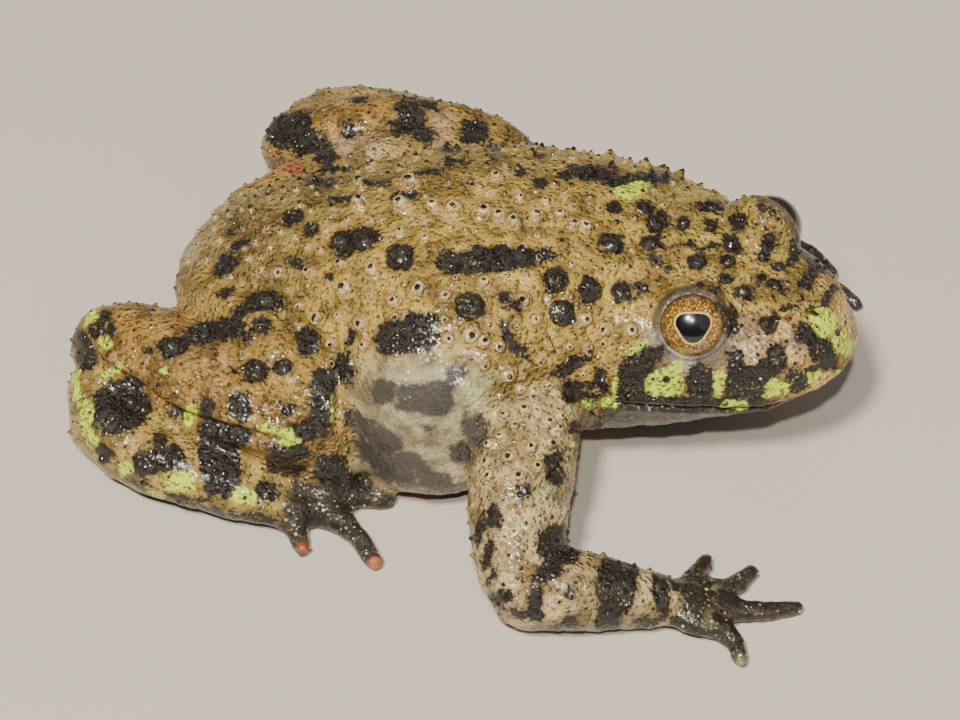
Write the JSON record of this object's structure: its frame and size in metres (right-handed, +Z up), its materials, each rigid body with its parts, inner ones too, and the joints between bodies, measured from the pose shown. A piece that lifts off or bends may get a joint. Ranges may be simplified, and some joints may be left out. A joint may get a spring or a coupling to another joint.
{
  "type": "fire-bellied toad model",
  "caption": "Life-size still model of a fire-bellied toad at rest, belly, hands and feet flat on the floor.",
  "frame": {"origin": "on the floor plane under the belly, a flat patch of the belly's underside", "axes": "+X towards the snout, +Y to the toad's left, +Z up"},
  "size_m": [0.0491, 0.0417, 0.0149],
  "materials": {
    "skin": "moist warty skin, olive tan with black marks above and orange red with black below",
    "jaw_skin": "moist skin, dark lower lip and orange red throat with black marks",
    "limb_skin": "moist warty skin, ochre with broad black bands and yellow green flecks",
    "digit_skin": "moist smooth skin, black and ochre with red orange toe tips",
    "eye": "clear glossy eye with a gold iris and a black pupil"
  },
  "bodies": {
    "root": {"torso": "skin", "head": "skin", "jaw": "jaw_skin", "eye_left": "eye", "eye_right": "eye", "upper_arm_left": "limb_skin", "upper_arm_right": "limb_skin", "forearm_left": "limb_skin", "forearm_right": "limb_skin", "hand_left": "digit_skin", "hand_right": "digit_skin", "thigh_left": "limb_skin", "thigh_right": "limb_skin", "shank_left": "limb_skin", "shank_right": "limb_skin", "foot_left": "digit_skin", "foot_right": "digit_skin"}
  },
  "joints": []
}
